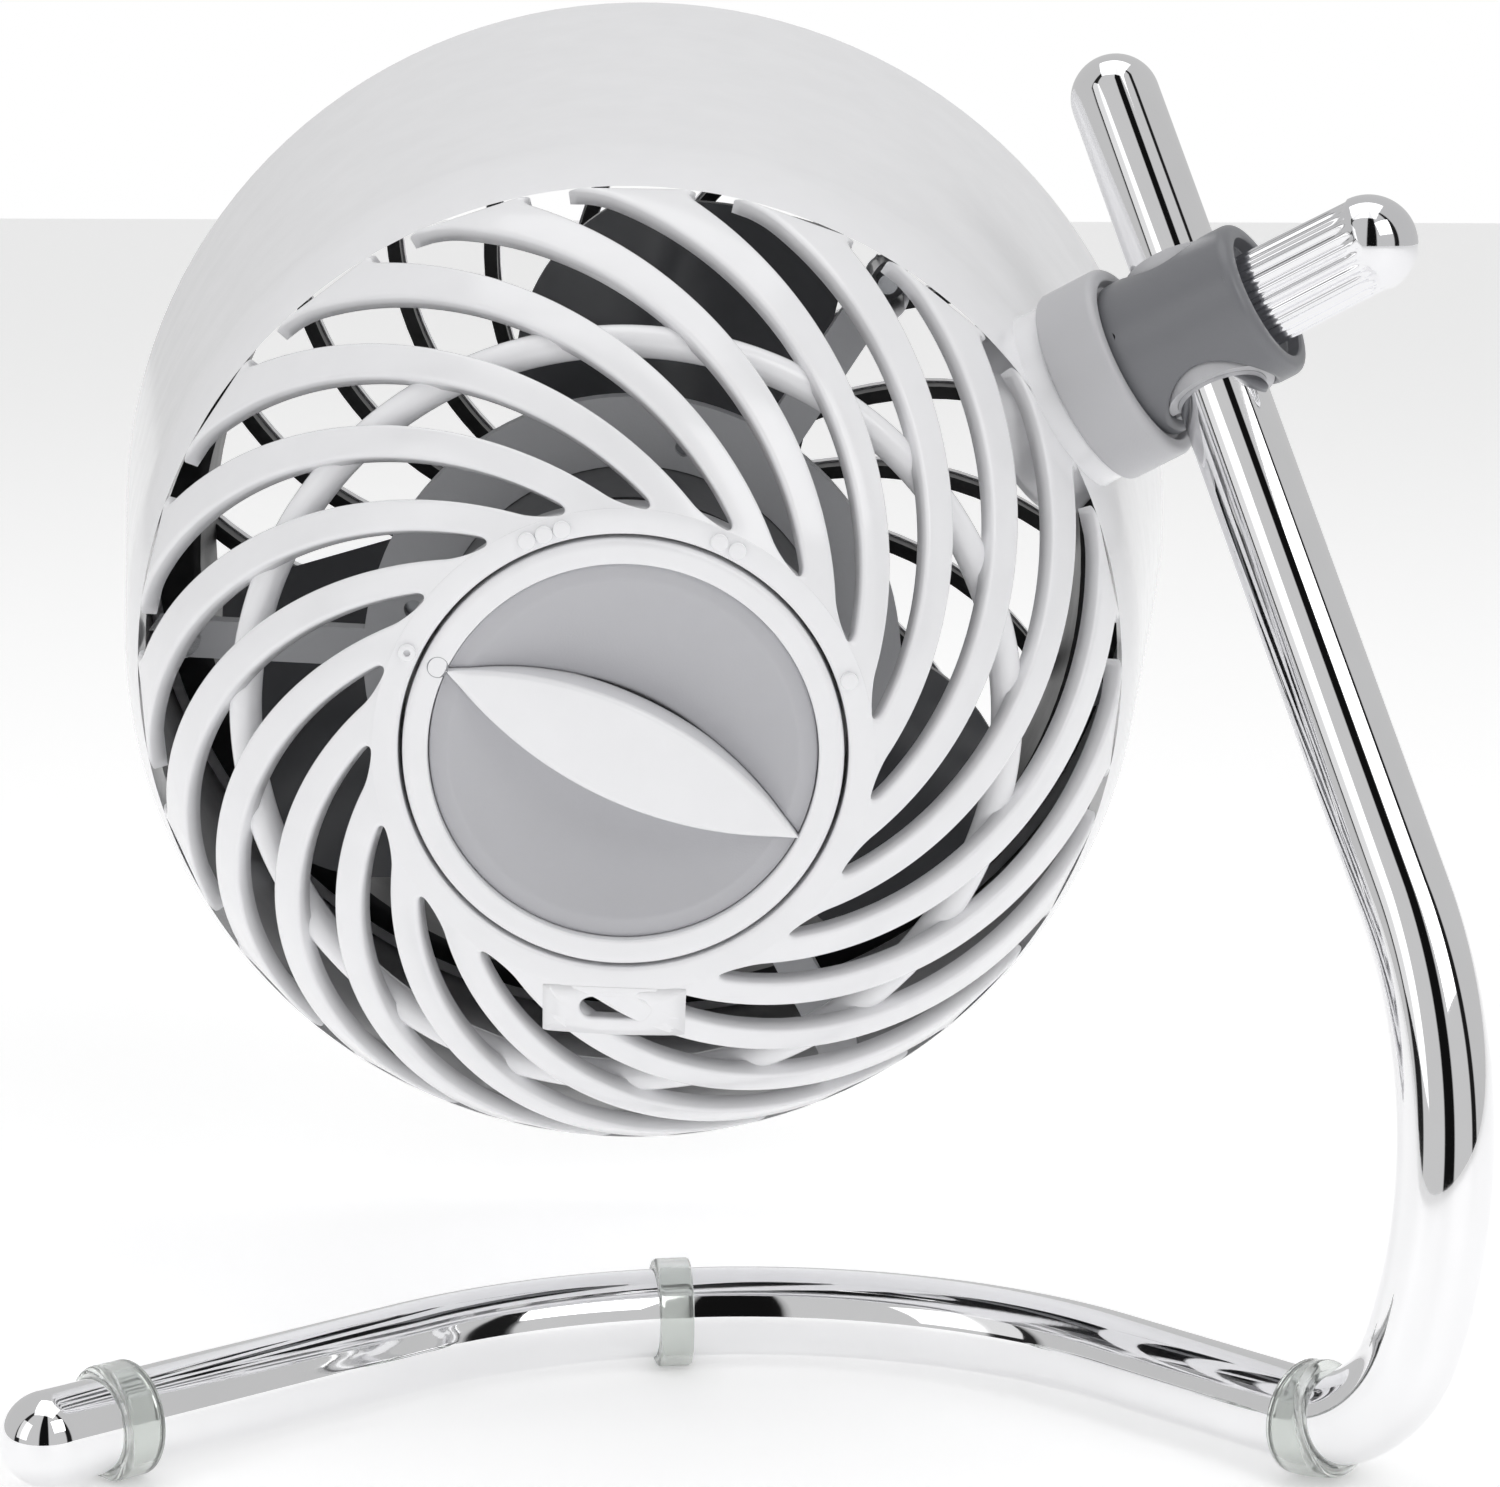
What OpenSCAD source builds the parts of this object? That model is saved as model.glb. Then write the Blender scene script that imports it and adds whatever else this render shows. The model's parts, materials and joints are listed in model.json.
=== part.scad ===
// Personal desk fan: a round fan head with a spiral slotted rear shell, held by a
// sliding clamp on one bent tube that is both the riser and the base.
// Millimetres. Z is up, the floor is Z = 0 and the fan blows towards -Y.

/* [Tube stand] */
// Outside diameter of the bent tube
tube_d = 14; // [12:0.5:16]
// Wall thickness of the tube
tube_wall = 3; // [1.5:0.25:4]
// Centreline radius of the wide bend that forms the base
base_bend_r = 78; // [65:1:95]
// Angle that the wide bend turns through
base_sweep = 91; // [80:1:100]
// Straight length between the wide bend and the free end
left_leg = 64; // [45:1:85]
// Straight length between the wide bend and the riser corner
right_leg = 37.5; // [30:0.5:55]
// Centreline radius of the tight corner under the riser
corner_r = 19.6; // [17:0.2:24]
// Angle of the tight corner
corner_turn = 77; // [70:1:84]
// Straight length between the tight corner and the long easy bend
bend_gap = 2; // [1:0.5:6]
// Centreline radius of the long easy bend above the corner
riser_bend_r = 80; // [65:1:100]
// Angle of the long easy bend
riser_turn = 45.5; // [38:0.5:50]
// Straight length of the riser up to its domed end
riser_len = 137; // [120:1:160]
// Sideways lean of the riser's plane, away from the base
riser_roll = 7.2; // [0:0.1:12]

/* [Feet] */
// How far a foot ring stands out from the tube
foot_t = 1.6; // [1:0.1:3]
// Width of a foot ring along the tube
foot_w = 5.8; // [4:0.2:9]
// How much of a ring's thickness is pressed flat by the floor
foot_flat = 0.5; // [0.1:0.05:0.5]

/* [Clamp] */
// Distance of the clamp centre below the riser's end
clamp_drop = 41.9; // [30:0.1:70]
// Turn of the clamp round the riser
clamp_turn = 19.5; // [0:0.5:45]
// Outside diameter of the clamp barrel
barrel_d = 25.2; // [24:0.2:30]
// Length of the clamp barrel
barrel_len = 23; // [22:0.5:28]
// Diameter of the fluted clamp knob
clamp_knob_d = 15; // [12:0.5:17]
// Length of the fluted part of the clamp knob
clamp_knob_len = 19.4; // [14:0.2:24]
// Outside diameter of the collar on the head
collar_d = 31.5; // [30:0.5:36]
// Pitch of the clamp screw
screw_pitch = 1; // [0.7:0.1:1.5]

/* [Head] */
// Radius of the domed back of the head
dome_r = 81; // [78:1:86]
// Radius of the head at its front rim
rim_r = 92.3; // [89:0.5:98]
// Depth of the head from the hub face to the front rim
head_depth = 149; // [140:1:165]
// Distance from the hub face to the centre of the dome
dome_centre = 72.5; // [70:0.5:74]
// Wall thickness of the shell
shell_wall = 2.6; // [2:0.1:3.4]
// Distance from the riser to the fan axis, along the pivot
head_reach = 106; // [102:1:115]
// Distance from the hub face to the pivot, along the fan axis
pivot_depth = 79.6; // [76:0.2:84]
// Backward lean of the pivot from square to the fan axis
pivot_lean = 16.2; // [12:0.2:20]
// Tilt of the head about the pivot
head_tilt = 126.6; // [120:0.2:132]

/* [Rear slots] */
// Number of spiral slots in the back
slot_count = 19; // [15:1:22]
// Width of the slat between two slots
slat_w = 4.5; // [3.5:0.1:6]
// Radius of the arc that each slat follows
slat_arc_r = 49.7; // [48:0.1:52]
// Distance of the slat arc's centre from the fan axis
slat_arc_offset = 30.8; // [29:0.1:32]
// Outer radius of the slots
slot_outer_r = 75.8; // [72:0.2:77]

/* [Speed knob] */
// Diameter of the speed knob
speed_knob_d = 63.8; // [60:0.2:64.4]
// Gap all round the speed knob
speed_knob_gap = 0.6; // [0.4:0.1:1]
// Angle between two neighbouring speed marks
mark_step = 45; // [40:1:50]

/* [Fan and motor] */
// Radius of the blade tips
blade_tip_r = 69; // [60:1:71]
// Number of blades
blade_count = 3; // [3:1:5]
// Pitch of the blades from the plane of rotation
blade_pitch = 30; // [20:1:36]
// Radius of the motor's outer can
motor_r = 31; // [27:0.5:33]
// Diameter of the motor shaft
shaft_d = 5; // [4:0.5:6]

/* [Front grille] */
// Number of spiral bars in the front grille
bar_count = 20; // [16:1:26]
// Width of a grille bar
bar_w = 2.2; // [1.6:0.1:3]

/* [Hidden] */
$fn = 96;

// Clearances: a running fit, a visible gap between moving faces, and a cutter's overrun
run_fit = 0.05;
face_gap = 0.3;
over = 1;
// A bend draws the tube a little thin, and each straight runs a little way into it
bend_thin = 0.1;
bend_lap = 0.8;

// Where the centre of the wide bend stands
arc_x = -5.36;
arc_y = 92.91;

tube_r = tube_d / 2;
bore_r = tube_r - tube_wall;
foot_r = tube_r + foot_t;
base_z = foot_r - foot_flat;
barrel_r = barrel_d / 2;
collar_r = collar_d / 2;
barrel_in = -11;
barrel_out = barrel_in + barrel_len;
collar_len = 10;
collar_socket = 1.4;
spigot_r = 8;
bush_r = tube_r + 1.4;
knob_recess_r = clamp_knob_d / 2 + 2.4;
knob_recess = 2.4;
// The knob's face stands this far off the floor of its recess
knob_seat_gap = 0.3;
stud_r = 3;
pad_travel = 1.5 * screw_pitch;

rim_point = norm([head_depth - dome_centre, rim_r]);
flank = acos(dome_r / rim_point) + atan2(rim_r, head_depth - dome_centre) - 90;
tangent_s = dome_centre - dome_r * sin(flank);
tangent_r = dome_r * cos(flank);
bezel_len = 9;
shell_len = head_depth - bezel_len;
hub_r = sqrt(dome_r * dome_r - dome_centre * dome_centre);
well_r = speed_knob_d / 2 + speed_knob_gap;
well_wall = 1.8;
well_depth = 13;
slot_inner_r = hub_r + 0.1;
// Plan angle, from the pivot boss, of the slot whose inner end is nearest to it
slot_phase = -29.7;
// Plan angle from a slot's inner end to the centre of the slat's arc beside it
slat_centre_turn = 99;
knob_angle = 122.4;
knob_t = 11;
dish_r = speed_knob_d / 2 - 3.7;
bar_half = 6.2;
grip_arc_r = (dish_r * dish_r + bar_half * bar_half) / (2 * bar_half);
mount_s = 53;
mount_t = 3;
mount_ring_r = 42;
mount_arm_angles = [25.7, 145.7, 265.7];
mount_hole_r = 72;
plate_hole_r = motor_r + 4;
bearing_r = 7.9;
bearing_len = 4;
hub_front_s = 93;
motor_rear_s = 31;
motor_front_s = 60;
blade_s = 82;
blade_hub_r = 21;
grille_s = 137;
grille_t = 4;
trim_t = 2.4;
grille_r = rim_r - 7;
duct_r = 75;

// Radius of the shell's outer face at a distance s in front of the hub face
function flank_r(s) = tangent_r + (s - tangent_s) * tan(flank);

// ---------- placing ----------

module at_base_centre() {
    translate([arc_x, arc_y, base_z]) children();
}

// The right end of the wide bend, with X along the tube towards the riser
module at_right_leg() {
    at_base_centre()
        rotate([0, 0, -base_sweep / 2])
        translate([0, -base_bend_r, 0])
        rotate([0, 0, 180])
        children();
}

// The left end of the wide bend, with X along the tube towards the free end
module at_left_leg() {
    at_base_centre()
        rotate([0, 0, base_sweep / 2])
        translate([0, -base_bend_r, 0])
        children();
}

// Steps past an upward bend, so that X again runs along the tube
module past_bend(r, turn) {
    translate([0, 0, r]) rotate([0, -turn, 0]) translate([0, 0, -r]) children();
}

module at_corner() {
    at_right_leg()
        translate([right_leg, 0, 0])
        rotate([-riser_roll, 0, 0])
        children();
}

module past_corner() {
    at_corner() past_bend(corner_r, corner_turn) children();
}

module at_riser() {
    past_corner()
        translate([bend_gap, 0, 0])
        past_bend(riser_bend_r, riser_turn)
        children();
}

// The clamp: Z up the riser, X along the pivot towards the clamp knob
module at_clamp() {
    at_riser()
        translate([riser_len - clamp_drop, 0, 0])
        rotate([0, 90, 0])
        rotate([0, 0, clamp_turn])
        children();
}

// The clamp with Z turned to lie along the pivot, towards the clamp knob
module along_pivot() {
    at_clamp() rotate([0, 90, 0]) children();
}

// The head: Z along the fan axis towards the back, zero at the hub face
module at_head() {
    at_clamp()
        translate([-head_reach, 0, 0])
        rotate([head_tilt, 0, 0])
        rotate([0, pivot_lean, 0])
        translate([0, 0, pivot_depth])
        children();
}

// A place s in front of the hub face, with Z still towards the back
module in_head(s) {
    at_head() translate([0, 0, -s]) children();
}

// The pivot axis seen from the head, Z outwards and zero on the fan axis
module head_pivot() {
    translate([0, 0, -pivot_depth]) rotate([0, 90 - pivot_lean, 0]) children();
}

// A round bar or bore along X
module bar_x(r, x0, x1) {
    translate([x0, 0, 0]) rotate([0, 90, 0]) cylinder(h = x1 - x0, r = r);
}

// A tube bend that starts at the origin along X and turns up towards Z
module bend_up(r, turn, section_r) {
    translate([0, 0, r])
        rotate([90, 0, 0])
        rotate([0, 0, -90])
        rotate_extrude(angle = turn)
        translate([r, 0])
        circle(r = section_r);
}

module ring(r_out, r_in, h) {
    difference() {
        cylinder(h = h, r = r_out);
        translate([0, 0, -over]) cylinder(h = h + 2 * over, r = r_in);
    }
}

// ---------- stand ----------

// The whole bent path, swept with one radius
module tube_path(r, spare) {
    thin = r - bend_thin;
    at_base_centre()
        rotate([0, 0, -90 - base_sweep / 2])
        rotate_extrude(angle = base_sweep)
        translate([base_bend_r, 0])
        circle(r = thin);
    at_left_leg() bar_x(r, -bend_lap, left_leg + spare);
    at_right_leg() bar_x(r, -bend_lap, right_leg + bend_lap);
    at_corner() bend_up(corner_r, corner_turn, thin);
    past_corner() bar_x(r, -bend_lap, bend_gap + bend_lap);
    past_corner() translate([bend_gap, 0, 0]) bend_up(riser_bend_r, riser_turn, thin);
    at_riser() bar_x(r, -bend_lap, riser_len + spare);
}

module stand_tube() {
    color("silver")
        difference() {
            tube_path(tube_r, 0);
            tube_path(bore_r, over);
        }
}

// A domed plug that closes an end of the tube
module tube_cap() {
    plug_len = 8;
    intersection() {
        sphere(r = tube_r);
        translate([0, -tube_d, -tube_d]) cube([tube_d, 2 * tube_d, 2 * tube_d]);
    }
    bar_x(bore_r, -plug_len, over);
}

module tube_cap_top() {
    color("silver") at_riser() translate([riser_len, 0, 0]) tube_cap();
}

module tube_cap_base() {
    color("silver") at_left_leg() translate([left_leg, 0, 0]) tube_cap();
}

// Keeps what stands above the floor, so each foot ring rests on a small flat
module above_floor() {
    wide = 400;
    intersection() {
        children();
        translate([-wide / 2, -wide / 2, 0]) cube([wide, wide, wide]);
    }
}

module foot_ring_left() {
    color("gainsboro")
        above_floor()
        at_left_leg()
        translate([left_leg - 12, 0, 0])
        difference() {
            bar_x(foot_r, -foot_w / 2, foot_w / 2);
            bar_x(tube_r, -foot_w, foot_w);
        }
}

// The middle ring sits on the wide bend, so it is part of a torus
module foot_ring_middle() {
    turn = foot_w / base_bend_r * 180 / PI;
    color("gainsboro")
        above_floor()
        at_base_centre()
        rotate([0, 0, -79 - turn / 2])
        rotate_extrude(angle = turn)
        translate([base_bend_r, 0])
        difference() {
            circle(r = foot_r);
            circle(r = tube_r - bend_thin);
        }
}

// The right ring sits on the start of the corner
module foot_ring_right() {
    turn = foot_w / corner_r * 180 / PI;
    color("gainsboro")
        above_floor()
        at_corner()
        difference() {
            bend_up(corner_r, turn, foot_r);
            bend_up(corner_r, turn + 2, tube_r);
        }
}

// ---------- clamp ----------

// A split sleeve on the tube: it slides, and the clamp turns on it
module clamp_bush() {
    half = barrel_r - 1.6;
    color("lightgray")
        at_clamp()
        translate([0, 0, -half])
        difference() {
            ring(bush_r, tube_r + run_fit, 2 * half);
            translate([-bush_r - over, -0.7, -over]) cube([bush_r, 1.4, 2 * half + 2 * over]);
        }
}

module clamp_body() {
    color("dimgray")
        difference() {
            union() {
                along_pivot() translate([0, 0, barrel_in]) cylinder(h = barrel_len, r = barrel_r);
                along_pivot() translate([0, 0, barrel_in - collar_len - shell_wall])
                    cylinder(h = collar_len + shell_wall + over, r = spigot_r);
            }
            at_clamp() translate([0, 0, -collar_d]) cylinder(h = 2 * collar_d, r = bush_r + run_fit);
            along_pivot() translate([0, 0, barrel_out - knob_recess])
                cylinder(h = knob_recess + over, r = knob_recess_r);
            along_pivot() cylinder(h = barrel_out, r = stud_r + run_fit);
            along_pivot() translate([0, 0, barrel_in - 20]) cylinder(h = 20, r = 2);
        }
}

// The pad that grips the sleeve; it backs off when the knob is undone
module clamp_pad() {
    color("lightgray")
        along_pivot()
        difference() {
            translate([0, 0, bush_r - 0.2]) cylinder(h = 1, r = stud_r);
            rotate([0, 90, 0]) translate([0, 0, -barrel_r]) cylinder(h = barrel_d, r = bush_r + 0.02);
        }
}

module clamp_stud() {
    color("gray")
        along_pivot()
        translate([0, 0, bush_r + 0.8])
        cylinder(h = barrel_out + 6 - bush_r - 0.8, r = stud_r);
}

module clamp_knob() {
    knob_r = clamp_knob_d / 2;
    flutes = 24;
    seat = barrel_out - knob_recess + knob_seat_gap;
    color("silver")
        along_pivot()
        translate([0, 0, seat])
        difference() {
            union() {
                cylinder(h = clamp_knob_len, r = knob_r);
                translate([0, 0, clamp_knob_len]) sphere(r = knob_r);
            }
            for (i = [0:flutes - 1]) {
                rotate([0, 0, i * 360 / flutes])
                    translate([knob_r + 0.25, 0, -over])
                    cylinder(h = clamp_knob_len, r = 0.65);
            }
            translate([0, 0, -over]) cylinder(h = 6 + knob_recess - knob_seat_gap + over, r = stud_r);
        }
}

// ---------- pivot ----------

// The collar carries the barrel's end in a shallow socket and turns with the head
module pivot_collar() {
    near = barrel_in - face_gap;
    color("lightgray")
        difference() {
            along_pivot()
                translate([0, 0, near - collar_len + collar_socket])
                cylinder(h = collar_len, r = collar_r);
            along_pivot()
                translate([0, 0, near])
                cylinder(h = collar_socket + over, r = barrel_r + face_gap);
            along_pivot()
                translate([0, 0, near - 2 * collar_len])
                cylinder(h = 3 * collar_len, r = spigot_r + run_fit);
        }
}

module pivot_washer() {
    color("silver")
        along_pivot()
        translate([0, 0, barrel_in - collar_len - shell_wall - 1.5])
        ring(spigot_r + 2.5, 2, 1.5);
}

module pivot_screw() {
    far = barrel_in - collar_len - shell_wall - 1.5;
    color("gray")
        along_pivot() {
            translate([0, 0, far - 2.4]) cylinder(h = 2.4, r = 4);
            translate([0, 0, far - over]) cylinder(h = 14, r = 2);
        }
}

// ---------- shell ----------

// The solid of revolution inside the shell's outer face, drawn inset by t.
// The flank runs a hair inside the dome, so the two cross cleanly where they meet.
module head_form(t, front = head_depth) {
    lap = 6;
    inset = t / cos(flank) + 0.05;
    intersection() {
        translate([0, 0, -dome_centre]) sphere(r = dome_r - t);
        translate([0, 0, -tangent_s - lap]) cylinder(h = tangent_s + lap - t, r = rim_r);
    }
    translate([0, 0, -front])
        cylinder(
            h = front - tangent_s + lap,
            r1 = flank_r(front) - inset,
            r2 = flank_r(tangent_s - lap) - inset
        );
}

// One slot in plan: inside the arc of one slat and outside the arc of the next
module slot_plan() {
    pitch = 360 / slot_count;
    intersection() {
        difference() {
            rotate([0, 0, slat_centre_turn]) translate([slat_arc_offset, 0]) circle(r = slat_arc_r);
            rotate([0, 0, slat_centre_turn + pitch])
                translate([slat_arc_offset, 0])
                circle(r = slat_arc_r + slat_w);
        }
        difference() {
            circle(r = slot_outer_r);
            circle(r = slot_inner_r);
        }
        rotate([0, 0, -10]) square([2 * slot_outer_r, 2 * slot_outer_r]);
    }
}

module slot_cutters() {
    for (i = [0:slot_count - 1]) {
        rotate([0, 0, slot_phase + i * 360 / slot_count])
            translate([0, 0, -60])
            linear_extrude(height = 60 + over)
            slot_plan();
    }
}

// The fairing that joins the shell to the collar
module pivot_boss(r_out) {
    head_pivot()
        translate([0, 0, head_reach + barrel_in - collar_len - 12])
        cylinder(h = 12 + collar_socket - face_gap, r = r_out);
}

module speed_marks() {
    mark_r = (well_r + hub_r) / 2;
    steps = [[0], [-2.4, 2.4], [-4.4, 0, 4.4]];
    for (i = [0:2]) {
        for (a = steps[i]) {
            rotate([0, 0, knob_angle - (3 - i) * mark_step + a])
                translate([mark_r, 0, 0])
                cylinder(h = 0.6, r = 1.15);
        }
    }
    rotate([0, 0, knob_angle]) translate([mark_r, 0, 0]) ring(1.15, 0.5, 0.6);
}

// The cord's outlet, an oblong hole beside the knob's well
module at_outlet() {
    rotate([0, 0, -123.8]) translate([39.5, 0, 0]) children();
}

module cord_outlet() {
    half = 3.1;
    at_outlet()
        translate([0, 0, -well_depth])
        linear_extrude(height = well_depth + over) {
            square([3.9, 2 * half], center = true);
            translate([0, half]) circle(d = 3.9);
            translate([0, -half]) circle(d = 3.9);
        }
}

// The plain patch that keeps two slots clear of the outlet
module outlet_patch() {
    intersection() {
        difference() {
            head_form(0);
            head_form(shell_wall);
        }
        at_outlet() translate([-4, -10.5, -20]) cube([9, 21, 20]);
    }
}

// Posts inside the shell that the motor mount is screwed to
module mount_posts() {
    intersection() {
        for (a = mount_arm_angles) {
            rotate([0, 0, a])
                translate([mount_hole_r, 0, -mount_s])
                cylinder(h = mount_s, r = 3.4);
        }
        head_form(shell_wall / 2);
    }
}

module rear_shell() {
    color("white")
        at_head()
        difference() {
            union() {
                difference() {
                    head_form(0, shell_len);
                    head_form(shell_wall, shell_len + over);
                    slot_cutters();
                }
                outlet_patch();
                mount_posts();
                pivot_boss(collar_r - 1.2);
                translate([0, 0, -20.5]) rotate_extrude() translate([56.6, 0]) circle(r = 2.4);
                translate([0, 0, -well_depth - well_wall]) cylinder(h = well_depth + well_wall, r = well_r + well_wall);
                speed_marks();
            }
            translate([0, 0, -well_depth]) cylinder(h = well_depth + 2 * over, r = well_r);
            translate([0, 0, -2 * well_depth]) cylinder(h = 2 * well_depth, r = 3 + run_fit);
            head_pivot() cylinder(h = 2 * head_reach, r = spigot_r + run_fit);
            head_pivot() cylinder(h = head_reach + barrel_in - collar_len - shell_wall, r = collar_r - 4);
            cord_outlet();
            for (a = mount_arm_angles) {
                rotate([0, 0, a])
                    translate([mount_hole_r, 0, -mount_s - over])
                    cylinder(h = 6 + over, r = 1.5);
            }
        }
}

// ---------- speed switch ----------

module switch_body() {
    color("dimgray")
        in_head(well_depth + well_wall + 12)
        difference() {
            translate([-10, -8, 0]) cube([20, 16, 12]);
            translate([0, 0, 3.8]) cylinder(h = 12, r = 3 + run_fit);
        }
}

module switch_shaft() {
    color("gray")
        in_head(well_depth + well_wall + 8)
        cylinder(h = 14, r = 3);
}

// The long lens that is the knob's grip, in plan
module grip_plan(grow) {
    intersection() {
        translate([0, grip_arc_r - bar_half]) circle(r = grip_arc_r + grow);
        translate([0, bar_half - grip_arc_r]) circle(r = grip_arc_r + grow);
    }
}

// One dished face of the knob in plan, on the side given
module dish_plan(side, gap) {
    difference() {
        intersection() {
            circle(r = dish_r - gap);
            translate([-dish_r, side > 0 ? 0 : -dish_r]) square([2 * dish_r, dish_r]);
        }
        grip_plan(gap);
    }
}

module speed_knob() {
    color("white")
        at_head()
        rotate([0, 0, knob_angle])
        difference() {
            translate([0, 0, -knob_t - 0.4]) cylinder(h = knob_t + 0.8, r = speed_knob_d / 2);
            for (side = [-1, 1]) {
                translate([0, 0, -8.6]) linear_extrude(height = 12) dish_plan(side, 0);
            }
            translate([0, 0, -knob_t - over]) cylinder(h = 6, r = 3);
            translate([dish_r + 1.3, 0, 0.05]) sphere(r = 1.35);
        }
}

// The grey dished inlay on one side of the grip
module knob_dish(side) {
    scoop_r = 55;
    at_head()
        rotate([0, 0, knob_angle])
        difference() {
            translate([0, 0, -8.6]) linear_extrude(height = 7.4) dish_plan(side, 0);
            translate([0, 0, scoop_r - 7.4]) sphere(r = scoop_r);
        }
}

module knob_dish_upper() {
    color("darkgray") knob_dish(-1);
}

module knob_dish_lower() {
    color("darkgray") knob_dish(1);
}

// ---------- motor ----------

module motor_mount() {
    color("gainsboro")
        in_head(mount_s + mount_t)
        difference() {
            union() {
                cylinder(h = mount_t, r = mount_ring_r);
                for (a = mount_arm_angles) {
                    rotate([0, 0, a]) translate([0, -3, 0]) cube([mount_hole_r + 2, 6, mount_t]);
                    rotate([0, 0, a]) translate([mount_hole_r, 0, 0]) cylinder(h = mount_t, r = 3.3);
                }
            }
            translate([0, 0, -over]) cylinder(h = mount_t + 2 * over, r = motor_r + 0.2);
            for (a = mount_arm_angles) {
                rotate([0, 0, a])
                    translate([mount_hole_r, 0, -over])
                    cylinder(h = mount_t + 2 * over, r = 1.5);
            }
            for (i = [0:3]) {
                rotate([0, 0, 45 + 90 * i])
                    translate([plate_hole_r, 0, -over])
                    cylinder(h = mount_t + 2 * over, r = 1.5);
            }
        }
}

module motor_mount_screws() {
    color("gray")
        in_head(mount_s + mount_t)
        for (a = mount_arm_angles) {
            rotate([0, 0, a]) translate([mount_hole_r, 0, -2]) cylinder(h = 2, r = 2.8);
            rotate([0, 0, a]) translate([mount_hole_r, 0, -over]) cylinder(h = 8.5 + over, r = 1.5);
        }
}

module motor_cover() {
    len = mount_s + mount_t - motor_rear_s;
    back = 2;
    seat_len = bearing_len + 1;
    color("#262626")
        in_head(mount_s + mount_t)
        difference() {
            union() {
                difference() {
                    cylinder(h = len, r = motor_r + 0.1);
                    translate([0, 0, -over]) cylinder(h = len - back + over, r = motor_r - 2);
                }
                translate([0, 0, len - back - seat_len])
                    cylinder(h = seat_len + back / 2, r = bearing_r + 2.6);
            }
            translate([0, 0, len - back - seat_len - over])
                cylinder(h = seat_len + over, r = bearing_r);
        }
}

module stator_core() {
    teeth = 4;
    color("slategray")
        in_head(52)
        difference() {
            cylinder(h = 14, r = motor_r - 2.1);
            translate([0, 0, -over]) cylinder(h = 16, r = 12.4);
            for (i = [0:teeth - 1]) {
                rotate([0, 0, i * 360 / teeth]) translate([13, -5, -over]) cube([9, 10, 16]);
            }
        }
}

module motor_coils() {
    color("peru")
        in_head(55)
        for (i = [0:3]) {
            rotate([0, 0, i * 90])
                difference() {
                    translate([13.6, -4.7, 0]) cube([8, 9.4, 20]);
                    translate([12, -5, 2.8]) cube([3.4, 10, 14.4]);
                }
        }
}

module rotor_core() {
    color("gray")
        in_head(52)
        difference() {
            cylinder(h = 14, r = 12);
            translate([0, 0, -over]) cylinder(h = 16, r = shaft_d / 2);
        }
}

module motor_shaft() {
    color("silver")
        in_head(hub_front_s + 2)
        cylinder(h = hub_front_s + 2 - motor_rear_s - 4, r = shaft_d / 2);
}

module bearing(s) {
    in_head(s)
        difference() {
            cylinder(h = bearing_len, r = bearing_r);
            translate([0, 0, -over]) cylinder(h = bearing_len + 2 * over, r = shaft_d / 2 + run_fit);
        }
}

module rear_bearing() {
    color("goldenrod") bearing(motor_rear_s + 6.5);
}

module front_bearing() {
    color("goldenrod") bearing(motor_front_s + 2.4);
}

module motor_front_plate() {
    color("dimgray")
        in_head(motor_front_s + 3)
        difference() {
            union() {
                cylinder(h = motor_front_s + 3 - mount_s - mount_t, r = motor_r + 2.6);
                for (i = [0:3]) {
                    rotate([0, 0, 45 + 90 * i]) translate([plate_hole_r - 1, 0, 0]) cylinder(h = 7, r = 3.6);
                }
            }
            translate([0, 0, 3]) cylinder(h = 6, r = motor_r - 3);
            translate([0, 0, 0.6]) cylinder(h = 8, r = bearing_r);
            translate([0, 0, -over]) cylinder(h = 8, r = shaft_d / 2 + 1);
            for (i = [0:3]) {
                rotate([0, 0, 45 + 90 * i]) translate([plate_hole_r, 0, -over]) cylinder(h = 9, r = 1.5);
            }
        }
}

module motor_screws() {
    color("gray")
        in_head(motor_front_s + 3)
        for (i = [0:3]) {
            rotate([0, 0, 45 + 90 * i]) {
                translate([plate_hole_r, 0, -1.8]) cylinder(h = 1.8, r = 2.7);
                translate([plate_hole_r, 0, -over]) cylinder(h = 9, r = 1.5);
            }
        }
}

// ---------- blades ----------

// One blade: a cambered sheet, trimmed to a broad rounded petal
module blade() {
    camber_r = 90;
    sheet = 1.8;
    intersection() {
        rotate([blade_pitch, 0, 0])
            translate([0, 0, -camber_r])
            rotate([0, 90, 0])
            difference() {
                cylinder(h = blade_tip_r + 2, r = camber_r);
                translate([0, 0, -over]) cylinder(h = 2 * blade_tip_r, r = camber_r - sheet);
            }
        translate([0, 0, -16])
            linear_extrude(height = 32)
            intersection() {
                circle(r = blade_tip_r);
                union() {
                    translate([44, 0]) circle(r = 29);
                    translate([16, -9]) square([18, 18]);
                    translate([34, 0]) circle(r = 22);
                }
            }
    }
}

module fan_blade() {
    color("dimgray")
        in_head(blade_s)
        difference() {
            union() {
                for (i = [0:blade_count - 1]) {
                    rotate([0, 0, 45 + i * 360 / blade_count]) blade();
                }
                translate([0, 0, -11]) cylinder(h = 22, r = blade_hub_r);
            }
            translate([0, 0, -13]) cylinder(h = 26, r = shaft_d / 2);
            translate([0, 0, 0]) cylinder(h = 13, r = blade_hub_r - 2.2);
            translate([0, 0, -13]) cylinder(h = 9, r = 6);
        }
}

module blade_nut() {
    color("gray")
        in_head(blade_s + 10.6)
        difference() {
            union() {
                cylinder(h = 6.4, r = 5.4);
                cylinder(h = 2, r = 5.8);
            }
            translate([0, 0, -over]) cylinder(h = 9, r = shaft_d / 2);
        }
}

// ---------- front ----------

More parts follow.
